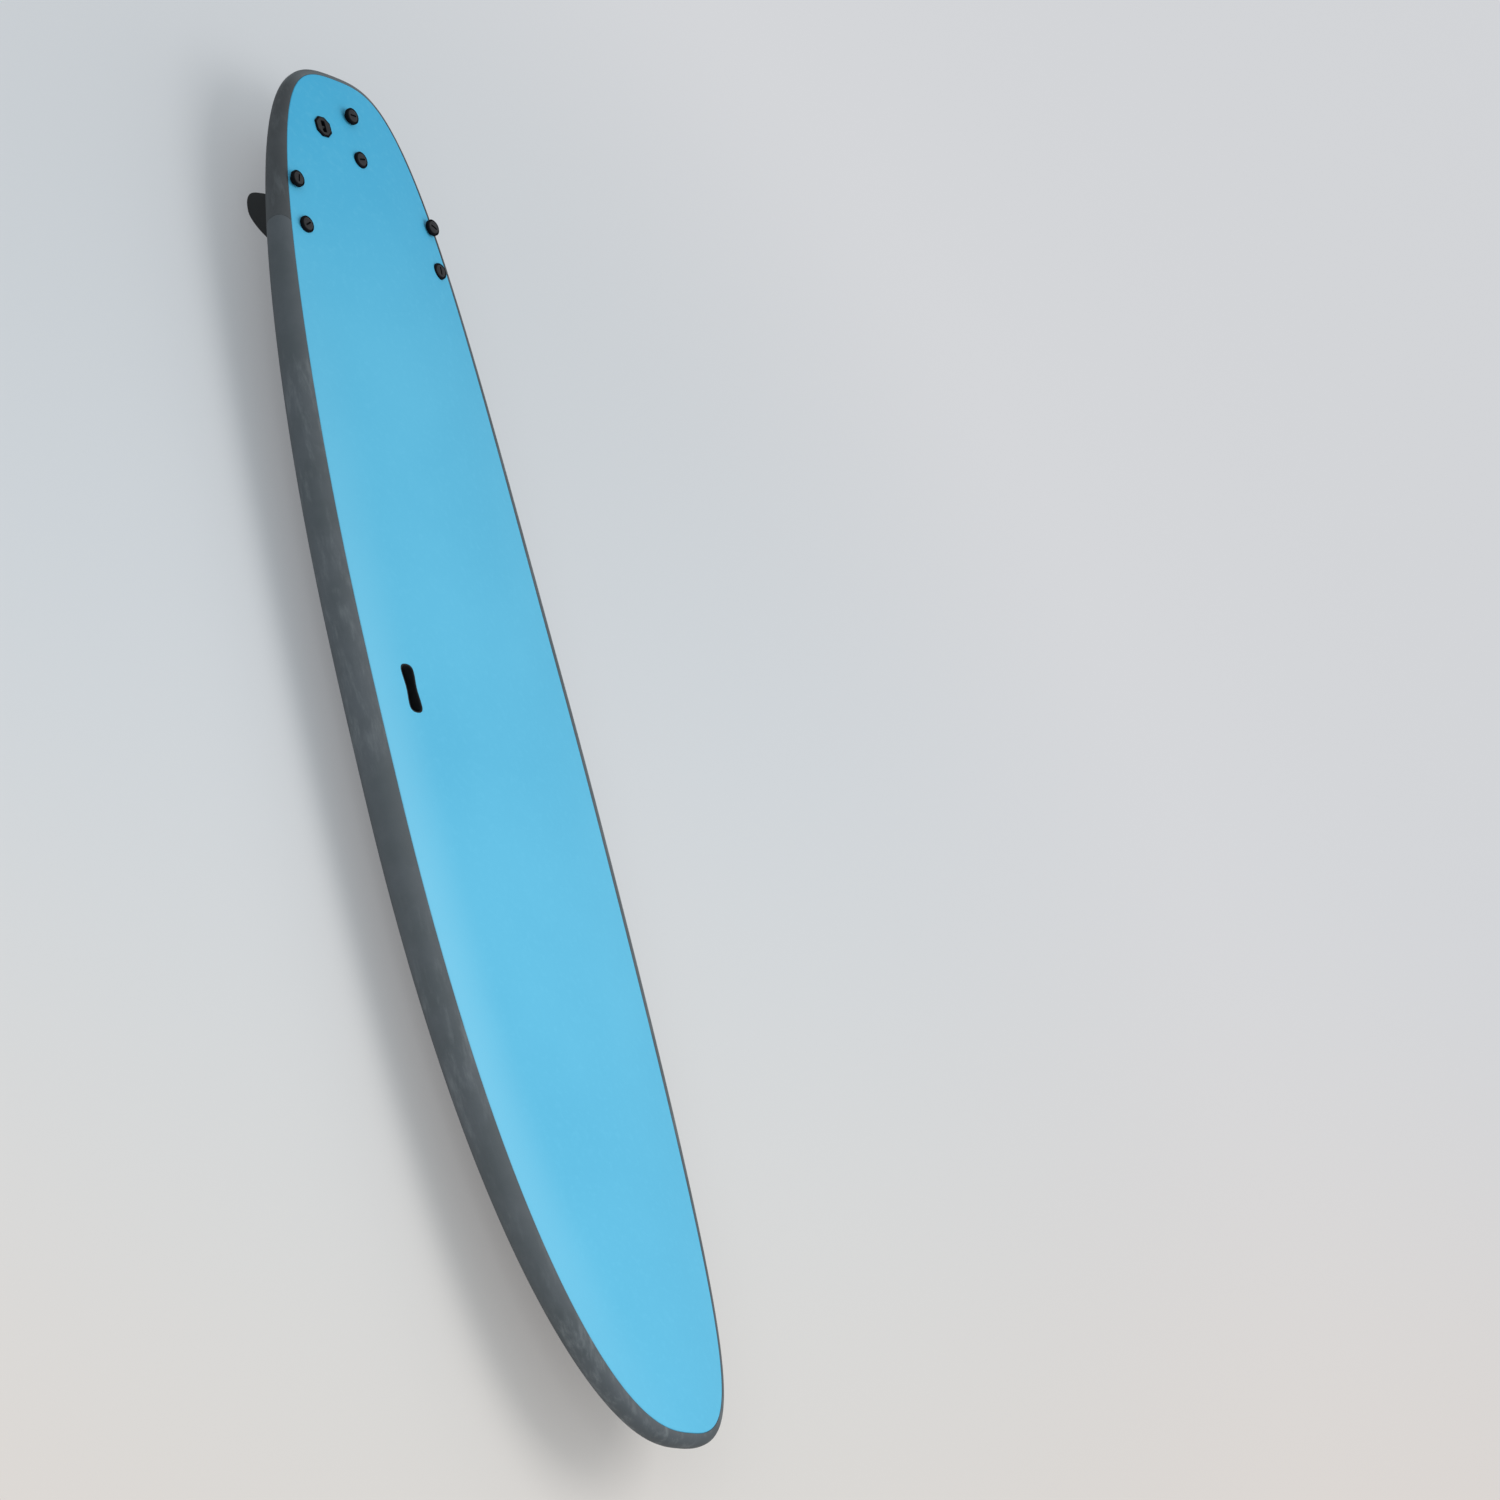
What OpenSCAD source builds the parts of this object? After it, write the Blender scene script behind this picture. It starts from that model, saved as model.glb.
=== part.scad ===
// Soft-top longboard, deck up: a foam core with two stringers, a foam deck and rails, a slick bottom,
// three screwed fins, a leash plug and a moulded finger grip.
// X is to the board's right, Y to the nose, and Z is up from the flat middle of the bottom.

/* [Outline] */
// Length from the tail end to the nose tip
board_length = 2440; // [1900:10:2900]
// Width at the widest place
board_width = 570; // [480:5:640]
// How far the widest place lies ahead of mid length
wide_point = 140; // [40:5:240]
// How long the nose stays wide before it closes in
nose_reach = 2.2; // [1.8:0.05:2.8]
// How pointed the nose tip is, lower is blunter
nose_point = 0.38; // [0.3:0.01:0.5]
// How long the tail stays wide before it closes in
tail_reach = 1.98; // [1.8:0.02:2.8]
// How pointed the tail end is, lower is squarer
tail_point = 0.305; // [0.25:0.005:0.4]

/* [Section] */
// Thickness on the centre line at mid length
board_thickness = 90; // [78:1:105]
// Thickness at the nose tip
nose_thickness = 54; // [46:1:70]
// Thickness at the tail end
tail_thickness = 45; // [42:1:65]
// Fall of the deck from the centre line to its edge
deck_crown = 26; // [12:1:30]
// Radius of the rail's upper edge as a share of the rail's height
rail_top_share = 0.42; // [0.36:0.01:0.48]
// Radius of the rail's lower edge as a share of the rail's height
rail_bottom_share = 0.47; // [0.36:0.01:0.5]

/* [Rocker] */
// Half length of the flat middle of the bottom
flat_half = 150; // [80:10:250]
// Even rise of the bottom at the nose
nose_rocker = 53; // [30:1:80]
// Added kick of the bottom at the nose tip
nose_kick = 31; // [10:1:60]
// Rise of the bottom at the tail end
tail_rocker = 62; // [30:1:80]

/* [Layers] */
// Thickness of the deck foam
deck_foam = 5; // [4:0.5:7]
// Thickness of the rail foam at the side
rail_foam = 5; // [4:0.5:7]
// Thickness of the slick bottom sheet
slick = 2.5; // [1.5:0.5:4]
// Distance of each stringer from the centre line
stringer_out = 45; // [35:1:58]
// Thickness of a stringer
stringer_t = 5; // [3:0.5:8]
// Share of the tail quarter that the tail rail piece wraps
tail_wrap = 0.61; // [0.5:0.01:0.75]

/* [Fins] */
// Middle of the centre fin, measured from the tail end
centre_fin_from_tail = 127; // [110:1:160]
// Middle of the side fins, measured from the tail end
side_fin_from_tail = 289; // [265:1:360]
// Distance of a side fin's rear screw from the rail
side_fin_from_rail = 28.75; // [28.5:0.25:48]
// Angle by which the side fins point in at the front
fin_toe = 2.1; // [0:0.1:4]
// Angle by which the side fins lean out
fin_cant = 5; // [0:0.5:8]
// Depth of a side fin below the board
side_fin_depth = 50; // [40:1:120]
// Depth of the centre fin below the board
centre_fin_depth = 112; // [60:1:135]
// Length of a fin where it leaves its base
fin_chord = 100; // [92:1:115]
// Thickness of a fin at its base
fin_root_t = 8; // [6:0.5:11]
// Thickness of a fin at its tip
fin_tip_t = 3.6; // [3:0.2:5]
// How far a fin's base plate reaches past the front of its blade
fin_base_lip = 2; // [1:0.5:6]
// Width of a fin's base plate
fin_base_w = 17; // [16:0.5:24]
// Thickness of a fin's base plate
fin_base_t = 3; // [2:0.5:5]

/* [Fin fixing] */
// Distance between a fin's two screws
screw_spacing = 83; // [76:1:90]
// Radius of a screw's shank
shank_r = 5; // [4:0.25:5.5]
// Radial play between the shank and the thread in the post
thread_play = 0.1; // [0.05:0.05:0.2]
// Radius of a fin's post
post_r = 7.5; // [6.5:0.25:8]
// Height of a fin's post above the bottom
post_h = 38; // [30:1:40]
// Depth of the threaded hole in a post
thread_depth = 28; // [22:1:30]
// Wall of a sleeve
sleeve_wall = 2; // [1.5:0.25:3]
// How deep a sleeve's top lies under the sloping deck foam at its screw
sleeve_sink = 2.6; // [2.4:0.1:3.4]
// Radius of a screw head
head_r = 11.25; // [11:0.25:13]
// Thickness of a screw head
head_t = 4; // [3:0.25:6]
// Width of the coin slot
slot_w = 3.2; // [2:0.2:4.2]
// Length of the coin slot
slot_l = 15; // [14:0.5:21]
// Depth of the coin slot
slot_d = 2; // [1:0.25:2.5]
// Radius of a cup washer
washer_r = 14.75; // [14:0.25:17]
// Thickness of a washer's floor
washer_floor = 2; // [1.5:0.25:3]
// Height of a washer's rim above its floor
washer_rim = 3.4; // [2.5:0.1:4]
// How deep a washer is seated in the deck foam at its screw
washer_seat = 0.8; // [0.5:0.1:1.5]
// Radius of the collar under a rear washer, where the board is thinner
collar_r = 9.5; // [8:0.25:12]
// Height by which that collar lifts a rear washer
collar_h = 6; // [4:0.25:8]

/* [Finger grip] */
// Distance of the grip's middle from the rail
grip_from_rail = 103; // [85:1:115]
// Place of the grip's middle along the board, from mid length
grip_y = -43; // [-120:1:120]
// Length of the grip's mouth
grip_l = 81; // [74:1:110]
// Width of the grip's mouth at its ends
grip_w = 22; // [20:1:36]
// Width of the grip's mouth at its waist
grip_waist = 18; // [15:1:20]
// Depth of the grip below the deck
grip_depth = 45; // [35:1:50]
// Wall of the grip's cup
grip_wall = 2.5; // [2:0.25:3.5]
// Width of the flange that holds the cup under the deck foam
grip_flange_w = 8; // [5:0.5:12]
// Thickness of that flange
grip_flange_t = 2; // [1.5:0.25:3]
// Gap between the flange and the curved deck foam over it
grip_flange_gap = 0.8; // [0.7:0.1:1]

/* [Leash plug] */
// Middle of the plug, measured from the tail end
plug_from_tail = 129; // [118:1:150]
// Distance of the plug from the centre line
plug_out = 76; // [74:1:90]
// Width of the plug's eight-sided flange
plug_flange_w = 34; // [32:0.5:40]
// Length of the plug's eight-sided flange
plug_flange_l = 39; // [36:0.5:46]
// Thickness of the flange above the deck
plug_flange_t = 3; // [2:0.25:4]
// Radius of the plug's cup
plug_r = 14; // [13:0.25:15]
// Depth of the plug's cup below the deck
plug_depth = 18; // [16:0.5:24]
// Width of the plug's cord well
well_w = 9; // [7:0.5:11]
// Length of the plug's cord well
well_l = 23; // [20:0.5:25]
// Floor under the cord well
well_floor = 3; // [2:0.25:4]
// Radius of the cross bar
bar_r = 2.5; // [2:0.25:3]
// Depth of the bar's axis below the top of the flange
bar_depth = 5.5; // [5:0.25:7]
// How far the bar's ends reach into the cup's wall
bar_hold = 3.5; // [2.5:0.25:4]
// How far the bar lies behind the middle of the well
bar_back = 1.5; // [0:0.25:2.5]

/* [Fits] */
// Glue line between bonded pieces
glue = 0.2; // [0.1:0.05:0.4]
// Play round pieces let into the foam
play = 0.3; // [0.2:0.05:0.5]
// Gap under a screw head and under a washer
seat_gap = 0.1; // [0.05:0.05:0.2]

/* [Hidden] */
$fn = 64;

half_length = board_length / 2;
nose_length = half_length - wide_point;
tail_length = half_length + wide_point;

// Most walls a line through one piece can cross
CONVEXITY = 10;

// Stations along a quarter of the outline, and round it all
quarter_steps = 28;
side_steps = 2 * quarter_steps;
ring_count = 2 * side_steps;

// Colours
DECK_BLUE = "#5db8df";
RAIL_GREY = "#54585b";
SLICK_GREY = "#3d4245";
FOAM_WHITE = "#f2f1ec";
PLY = "#c9a26a";
HARDWARE = "#26282a";
FIN_BLACK = "#202426";

// Height of the bottom's centre line
function rocker(y) =
  let (u = max(abs(y) - flat_half, 0) / (half_length - flat_half))
  y > 0 ? nose_rocker * pow(u, 2) + nose_kick * pow(u, 4) : tail_rocker * pow(u, 2);

// Thickness on the centre line
function thickness(y) =
  let (tip = y > 0 ? nose_thickness : tail_thickness)
  board_thickness - (board_thickness - tip) * pow(abs(y) / half_length, 3);

// Height of the rail beside the deck, and the radii of its two edges
function rail_h(y) = thickness(y) * (1 - deck_crown / board_thickness);
function top_r(y) = rail_top_share * rail_h(y);
function low_r(y) = rail_bottom_share * rail_h(y);

// Share of the way from the widest place to the nearer end
function end_share(y) =
  y > wide_point ? (y - wide_point) / nose_length : (wide_point - y) / tail_length;

// Half of the board's width
function half_width(y) =
  let (reach = y > wide_point ? nose_reach : tail_reach)
  let (point = y > wide_point ? nose_point : tail_point)
  board_width / 2 * pow(1 - pow(end_share(y), reach), point);

// Height of the deck, which falls from the centre line to its edge and rolls down at both ends
END_ROLL = 16;
function deck_z(x, y) =
  let (fall = deck_crown * thickness(y) / board_thickness)
  let (across = min(pow(x / (half_width(y) - top_r(y)), 2), 1))
  rocker(y) + thickness(y) - fall * (1 - (1 - across) * (1 - pow(end_share(y), END_ROLL)));

// Plan point of station i on the outline drawn in by an inset; station 0 is the tail end
function plan(inset, i) =
  let (j = i <= side_steps ? i : ring_count - i)
  let (side = i <= side_steps ? 1 : -1)
  let (at_tail = j <= quarter_steps)
  let (u = (at_tail ? j : side_steps - j) / quarter_steps)
  let (reach = at_tail ? tail_reach : nose_reach)
  let (point = at_tail ? tail_point : nose_point)
  let (run = at_tail ? -tail_length + inset : nose_length - inset)
  let (a = 90 * pow(u, 1 / (2 * point)))
  [
    side * (board_width / 2 - inset) * pow(sin(a), 2 * point),
    wide_point + run * pow(max(cos(a), 0), 2 / reach)
  ];

// Insets of the deck's edge and of the bottom's edge at station i
function deck_inset(i) = top_r(plan(0, i).y);
function bottom_inset(i) = low_r(plan(0, i).y);

// Height of the deck's edge at station i
function edge_z(i) = let (p = plan(deck_inset(i), i)) deck_z(p.x, p.y);

// One closed ring of points, its inset and height given by functions of the station and the point
function ring(inset, height) =
  [for (i = [0:ring_count - 1]) let (p = plan(inset(i), i)) [p.x, p.y, height(p, i)]];

// Inset at a share of the way from an edge to the centre line
function inward(edge, share) = edge + (board_width / 2 - edge) * share;

DECK_SHARES = [0, 0.2, 0.4, 0.6, 0.78];
BOTTOM_SHARES = [0, 0.45, 0.78];
function deck_ring(share, drop) =
  ring(
    function (i) inward(deck_inset(i) + glue, share),
    function (p, i) deck_z(p.x, p.y) - drop
  );
function bottom_ring(share, lift) =
  ring(
    function (i) inward(bottom_inset(i) + glue, share),
    function (p, i) rocker(p.y) + lift
  );

function reversed(list) = [for (i = [len(list) - 1:-1:0]) list[i]];

// Two triangles of a four-sided face, parted along its first diagonal or its second
function split(f, first) =
  first ? [[f[0], f[1], f[2]], [f[0], f[2], f[3]]] : [[f[0], f[1], f[3]], [f[1], f[2], f[3]]];

// Closed solid through a pile of rings, parted alike on facing skins,
// with each end closed by straight rungs across the centre line
module stack(rings) {
  n = ring_count;
  top = len(rings) - 1;
  bands = [
    for (k = [0:top - 1], i = [0:n - 1])
      let (a = k * n + i, b = k * n + (i + 1) % n)
      let (closing = rings[k][quarter_steps].x >= rings[k + 1][quarter_steps].x)
      for (f = split([a, a + n, b + n, b], !closing)) f
  ];
  rungs = [for (i = [0:side_steps - 1]) [i, i + 1, (n - i - 1) % n, (n - i) % n]];
  floor_faces = [for (r = rungs) trimmed(r)];
  roof_faces = [for (f = floor_faces) [for (v = reversed(f)) v + top * n]];
  polyhedron([for (r = rings) each r], concat(bands, floor_faces, roof_faces), CONVEXITY);
}

// A face without a corner that repeats the one before it
function trimmed(f) = [for (i = [0:len(f) - 1]) if (f[i] != f[(i + 1) % len(f)]) f[i]];

// Section of the rail foam at station i, as inset and height pairs
ARC_STEP = 18;
INNER_ARC_STEP = 30;
function rail_outer_top(i) =
  let (r = deck_inset(i), z = edge_z(i))
  [for (a = [0:ARC_STEP:90]) [r * (1 - sin(a)), z - r * (1 - cos(a))]];
function rail_outer_bottom(i) =
  let (r = bottom_inset(i))
  [
    for (a = [0:ARC_STEP:90])
      let (inset = r * (1 - cos(a)))
      [inset, rocker(plan(inset, i).y) + r * (1 - sin(a))]
  ];
function rail_inner_bottom(i, gap = 0) =
  let (r = bottom_inset(i))
  [
    for (a = [90:-INNER_ARC_STEP:0])
      let (inset = rail_foam + gap + (r - rail_foam) * (1 - cos(a)))
      [inset, rocker(plan(inset, i).y) + slick + gap + (r - slick) * (1 - sin(a))]
  ];
function rail_inner_top(i, gap = 0) =
  let (r = deck_inset(i), z = edge_z(i))
  [
    for (a = [90:-INNER_ARC_STEP:0])
      [
        rail_foam + gap + (r - rail_foam) * (1 - sin(a)),
        z - deck_foam - gap - (r - deck_foam) * (1 - cos(a))
      ]
  ];
function rail_section(i) =
  concat(rail_outer_top(i), rail_outer_bottom(i), rail_inner_bottom(i), rail_inner_top(i));

// Rail foam swept from one station to another
module rail_run(first, last) {
  seam = glue / 2 / norm(plan(0, tail_stations + 1) - plan(0, tail_stations));
  inner = [for (i = [first + 1:last - 1]) i];
  stations = [for (i = [first + seam, each inner, last - seam]) (i + ring_count) % ring_count];
  insets = [for (q = rail_section(0)) q[0]];
  sections = [
    for (i = stations)
      [for (q = rail_section(i)) let (p = plan(q[0], i)) [p.x, p.y, q[1]]]
  ];
  m = len(sections[0]);
  top = len(stations) - 1;
  bands = [
    for (k = [0:top - 1], j = [0:m - 1])
      let (a = k * m + j, b = k * m + (j + 1) % m)
      let (closing = insets[(j + 1) % m] >= insets[j])
      for (f = split([a, b, b + m, a + m], !closing)) f
  ];
  start_face = [for (j = [m - 1:-1:0]) j];
  end_face = [for (j = [0:m - 1]) top * m + j];
  polyhedron([for (s = sections) each s], concat(bands, [start_face, end_face]), CONVEXITY);
}

// Whole core before it is sawn into strips
module core_block() {
  lower = len(rail_inner_bottom(0));
  upper = len(rail_inner_top(0));
  floor_rings = [for (k = [len(BOTTOM_SHARES) - 1:-1:1]) bottom_ring(BOTTOM_SHARES[k], slick + glue)];
  low_rings = [
    for (k = [0:lower - 1])
      ring(
        function (i) rail_inner_bottom(i, glue)[k][0],
        function (p, i) rail_inner_bottom(i, glue)[k][1]
      )
  ];
  high_rings = [
    for (k = [0:upper - 1])
      ring(
        function (i) rail_inner_top(i, glue)[k][0],
        function (p, i) rail_inner_top(i, glue)[k][1]
      )
  ];
  deck_rings = [for (k = [1:len(DECK_SHARES) - 1]) deck_ring(DECK_SHARES[k], deck_foam + glue)];
  stack(concat(floor_rings, low_rings, high_rings, deck_rings));
}

// Part of the core between two distances from the centre line
module core_slice(from, to) {
  reach = [to - from, 2 * board_length, 2 * board_length];
  intersection() {
    core_block();
    translate([from, -board_length, -board_length]) cube(reach);
  }
}

stringer_face = stringer_out + stringer_t / 2 + glue;

// Frame on the deck at a plan place, with Z along the deck's normal
SLOPE_STEP = 1;
module on_deck(x, y) {
  slope_x = (deck_z(x + SLOPE_STEP, y) - deck_z(x - SLOPE_STEP, y)) / (2 * SLOPE_STEP);
  slope_y = (deck_z(x, y + SLOPE_STEP) - deck_z(x, y - SLOPE_STEP)) / (2 * SLOPE_STEP);
  translate([x, y, deck_z(x, y)]) rotate([atan(slope_y), -atan(slope_x), 0]) children();
}

// Fins: side is -1 for left, 0 for centre and 1 for right
function fin_y(side) = -half_length + (side == 0 ? centre_fin_from_tail : side_fin_from_tail);
function fin_x(side) =
  let (run = screw_spacing / 2)
  side * (half_width(fin_y(side) - run) - side_fin_from_rail - run * sin(fin_toe));
function fin_tilt(side) =
  atan((rocker(fin_y(side) + SLOPE_STEP) - rocker(fin_y(side) - SLOPE_STEP)) / (2 * SLOPE_STEP));

// Frame on the bottom at a fin, with Z along its screws and Y along its base
module at_fin(side) {
  translate([fin_x(side), fin_y(side), rocker(fin_y(side))])
    rotate([fin_tilt(side), 0, 0])
      rotate(side * fin_toe)
        children();
}

// Foot of a screw's axis on the bottom; place is -1 for rear and 1 for front
function screw_foot(side, place) =
  let (run = place * screw_spacing / 2, toe = side * fin_toe, tilt = fin_tilt(side))
  [
    fin_x(side) - run * sin(toe),
    fin_y(side) + run * cos(toe) * cos(tilt),
    rocker(fin_y(side)) + run * cos(toe) * sin(tilt)
  ];

// Length of a screw's axis from the bottom up to the deck, closed in by repeated steps
REACH_STEPS = 4;
function deck_reach(side, place, h = 0, step = 0) =
  let (foot = screw_foot(side, place), tilt = fin_tilt(side))
  let (p = foot + h * [0, -sin(tilt), cos(tilt)])
  step > REACH_STEPS ? h : deck_reach(side, place, h + deck_z(p.x, p.y) - p.z, step + 1);

// Radius of a washer's foot on the deck, and the height of the cup above it
function washer_foot(place) = place < 0 ? collar_r : washer_r;
function washer_lift(place) = place < 0 ? collar_h : 0;

// Frame on a screw's axis, with its origin at the underside of the washer
module at_washer(side, place) {
  at_fin(side)
    translate([0, place * screw_spacing / 2, deck_reach(side, place) - washer_seat])
      children();
}

SIDES = [-1, 0, 1];
PLACES = [-1, 1];
FAR = 400;

// Straight hole along a screw's axis, right through the board
module screw_bore(side, place, r) {
  at_fin(side) translate([0, place * screw_spacing / 2, -FAR / 2]) cylinder(r = r, h = FAR);
}

// Holes through the core for the sleeves of one fin
module sleeve_bores(side) {
  for (place = PLACES) screw_bore(side, place, sleeve_r + glue);
}

sleeve_in = post_r + play;
sleeve_r = sleeve_in + sleeve_wall;

module core_left() {
  color(FOAM_WHITE) difference() {
    core_slice(-board_width, -stringer_face);
    sleeve_bores(-1);
  }
}

module core_centre() {
  color(FOAM_WHITE) difference() {
    core_slice(-stringer_face + stringer_t + 2 * glue, stringer_face - stringer_t - 2 * glue);
    sleeve_bores(0);
  }
}

module core_right() {
  color(FOAM_WHITE) difference() {
    core_slice(stringer_face, board_width);
    sleeve_bores(1);
    grip_pocket();
    plug_pocket();
  }
}

module stringer(side) {
  x = side * stringer_out - stringer_t / 2;
  color(PLY) core_slice(x, x + stringer_t);
}

module deck_skin() {
  lower = [for (share = reversed(DECK_SHARES)) deck_ring(share, deck_foam)];
  upper = [for (share = DECK_SHARES) deck_ring(share, 0)];
  color(DECK_BLUE) difference() {
    stack(concat(lower, upper));
    for (side = SIDES, place = PLACES) {
      screw_bore(side, place, shank_r + 2 * play);
      at_washer(side, place) translate([0, 0, -seat_gap])
        cylinder(r = washer_foot(place) + play, h = FAR);
    }
    grip_mouth();
    plug_pocket();
  }
}

module bottom_skin() {
  lower = [for (share = reversed(BOTTOM_SHARES)) bottom_ring(share, 0)];
  upper = [for (share = BOTTOM_SHARES) bottom_ring(share, slick)];
  color(SLICK_GREY) difference() {
    stack(concat(lower, upper));
    for (side = SIDES, place = PLACES) screw_bore(side, place, sleeve_in);
  }
}

tail_stations = round(tail_wrap * quarter_steps);

module rail_band() {
  color(RAIL_GREY) rail_run(tail_stations, ring_count - tail_stations);
}

module rail_tail() {
  color(RAIL_GREY) rail_run(-tail_stations, tail_stations);
}

// Outline of the finger grip, wide at both ends with a waist between, grown by an amount
GRIP_SIDE_STEPS = 8;
GRIP_CAP_STEP = 15;
GRIP_CAP_ROUND = 0.8;
module grip_outline(grow) {
  lobe_y = (grip_l - grip_w) / 2;
  lobe_r = grip_w / 2 + grow;
  waist_r = grip_waist / 2 + grow;
  cap = [
    for (a = [0:GRIP_CAP_STEP:180])
      let (out = sign(cos(a)) * pow(abs(cos(a)), GRIP_CAP_ROUND))
      [lobe_r * out, lobe_y + lobe_r * pow(sin(a), GRIP_CAP_ROUND)]
  ];
  flank = [
    for (k = [1:2 * GRIP_SIDE_STEPS - 1])
      let (y = lobe_y * (1 - k / GRIP_SIDE_STEPS))
      [-(waist_r + (lobe_r - waist_r) * pow(sin(90 * y / lobe_y), 2)), y]
  ];
  polygon(concat(cap, flank, -cap, -flank));
}

module at_grip() {
  on_deck(half_width(grip_y) - grip_from_rail, grip_y) children();
}

flange_top = -deck_foam - grip_flange_gap;

// Room for the cup, and the wider room for its flange under the deck foam
module grip_mouth() {
  at_grip() translate([0, 0, -grip_depth - grip_wall - play])
    linear_extrude(grip_depth + FAR) grip_outline(grip_wall + play);
}

module grip_pocket() {
  grip_mouth();
  at_grip() translate([0, 0, flange_top - grip_flange_t - play])
    linear_extrude(FAR) grip_outline(grip_wall + grip_flange_w + play);
}

module handle_cup() {
  color(HARDWARE) at_grip() difference() {
    union() {
      translate([0, 0, -grip_depth - grip_wall])
        linear_extrude(grip_depth + grip_wall) grip_outline(grip_wall);
      translate([0, 0, flange_top - grip_flange_t])
        linear_extrude(grip_flange_t) grip_outline(grip_wall + grip_flange_w);
    }
    translate([0, 0, -grip_depth]) linear_extrude(FAR) grip_outline(0);
  }
}

module at_plug() {
  on_deck(plug_out, -half_length + plug_from_tail) children();
}

module plug_pocket() {
  at_plug() translate([0, 0, -plug_depth - glue]) cylinder(r = plug_r + glue, h = FAR);
}

// Flange outline: a rectangle with its corners cut to make eight sides
FLANGE_SIDES = 8;
module plug_outline() {
  w = plug_flange_w / 2;
  l = plug_flange_l / 2;
  cut = w * (1 - tan(180 / FLANGE_SIDES));
  polygon([
    [w, l - cut], [w - cut, l], [cut - w, l], [-w, l - cut],
    [-w, cut - l], [cut - w, -l], [w - cut, -l], [w, cut - l]
  ]);
}

// Cross bar's axis, across the plug
module along_bar(length) {
  translate([-length / 2, -bar_back, plug_flange_t - bar_depth]) rotate([0, 90, 0]) children();
}

bar_length = well_w + 2 * bar_hold;

module leash_plug() {
  well_h = plug_flange_t + plug_depth - well_floor;
  color(HARDWARE) at_plug() difference() {
    union() {
      translate([0, 0, glue]) linear_extrude(plug_flange_t - glue) plug_outline();
      translate([0, 0, -plug_depth]) cylinder(r = plug_r, h = plug_depth + plug_flange_t);
    }
    translate([-well_w / 2, -well_l / 2, plug_flange_t - well_h]) cube([well_w, well_l, FAR]);
    along_bar(bar_length + 2 * play) cylinder(r = bar_r + glue, h = bar_length + 2 * play);
  }
}

module leash_bar() {
  color(HARDWARE) at_plug() along_bar(bar_length) cylinder(r = bar_r, h = bar_length);
}

// Plan of a fin in shares of its chord: where its edges lie at share s of its depth
FIN_REAR = -0.37;
LEAD_SWEEP = 0.59;
LEAD_ROUND = 0.315;
TRAIL_SWEEP = 0.28;
TRAIL_ROUND = 0.345;
TRAIL_TURN = 6;
function lead_edge(s) =
  fin_chord * (1 + FIN_REAR - LEAD_SWEEP * s - LEAD_ROUND * (1 - sqrt(1 - pow(s, 2))));
function trail_edge(s) =
  fin_chord * (FIN_REAR - TRAIL_SWEEP * s + TRAIL_ROUND * (1 - sqrt(1 - pow(s, TRAIL_TURN))));

// Points round one slice of the foil, from the trailing edge to the leading edge and back
FOIL_STEPS = 8;
FIN_SLICES = 10;
EDGE_SHARE = 0.14;
FOIL_FULLNESS = 0.8;
TIP_SHARE = 0.999;
function foil_slice(depth, k) =
  let (s = sin(90 * k / FIN_SLICES) * TIP_SHARE)
  let (rear = trail_edge(s), chord = lead_edge(s) - trail_edge(s))
  let (t = fin_root_t + (fin_tip_t - fin_root_t) * s)
  [
    for (j = [0:2 * FOIL_STEPS - 1])
      let (a = 180 * j / FOIL_STEPS)
      let (full = t / 2 * (EDGE_SHARE + (1 - EDGE_SHARE) * pow(abs(sin(a)), FOIL_FULLNESS)))
      [sign(sin(a)) * full, rear + chord * (1 - cos(a)) / 2, -depth * s]
  ];

// Blade of a fin, sunk a little into its base plate
module fin_blade(depth) {
  slices = [for (k = [0:FIN_SLICES]) foil_slice(depth, k)];
  m = 2 * FOIL_STEPS;
  bands = [
    for (k = [0:FIN_SLICES - 1], j = [0:m - 1])
      let (a = k * m + j, b = k * m + (j + 1) % m)
      for (f = [[a, b, a + m], [b, b + m, a + m]]) f
  ];
  root_face = [for (j = [m - 1:-1:0]) j];
  tip_face = [for (j = [0:m - 1]) FIN_SLICES * m + j];
  polyhedron([for (s = slices) each s], concat(bands, [root_face, tip_face]), CONVEXITY);
}

module fin(side, depth) {
  base_half = fin_chord * (1 + FIN_REAR) + fin_base_lip - fin_base_w / 2;
  color(FIN_BLACK) at_fin(side) difference() {
    union() {
      translate([0, 0, -fin_base_t - play]) {
        for (end = PLACES)
          translate([0, end * base_half, 0]) cylinder(d = fin_base_w, h = fin_base_t);
        translate([-fin_base_w / 2, -base_half, 0])
          cube([fin_base_w, 2 * base_half, fin_base_t]);
      }
      translate([0, 0, -play - fin_base_t / 2]) rotate([0, -side * fin_cant, 0]) fin_blade(depth);
      for (place = PLACES)
        translate([0, place * screw_spacing / 2, -play - fin_base_t / 2])
          cylinder(r = post_r, h = post_h + play + fin_base_t / 2);
    }
    for (place = PLACES)
      translate([0, place * screw_spacing / 2, post_h - thread_depth])
        cylinder(r = shank_r + thread_play, h = FAR);
  }
}

// Tube that keeps the foam from crushing round a post and its screw
sleeve_rise = slick + 2 * play;
sleeve_drop = deck_foam + sleeve_sink;
module fin_sleeve(side, place) {
  h = deck_reach(side, place) - sleeve_drop - sleeve_rise;
  color(HARDWARE) at_fin(side)
    translate([0, place * screw_spacing / 2, sleeve_rise]) difference() {
      cylinder(r = sleeve_r, h = h);
      translate([0, 0, -h]) cylinder(r = sleeve_in, h = 3 * h);
    }
}

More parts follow.
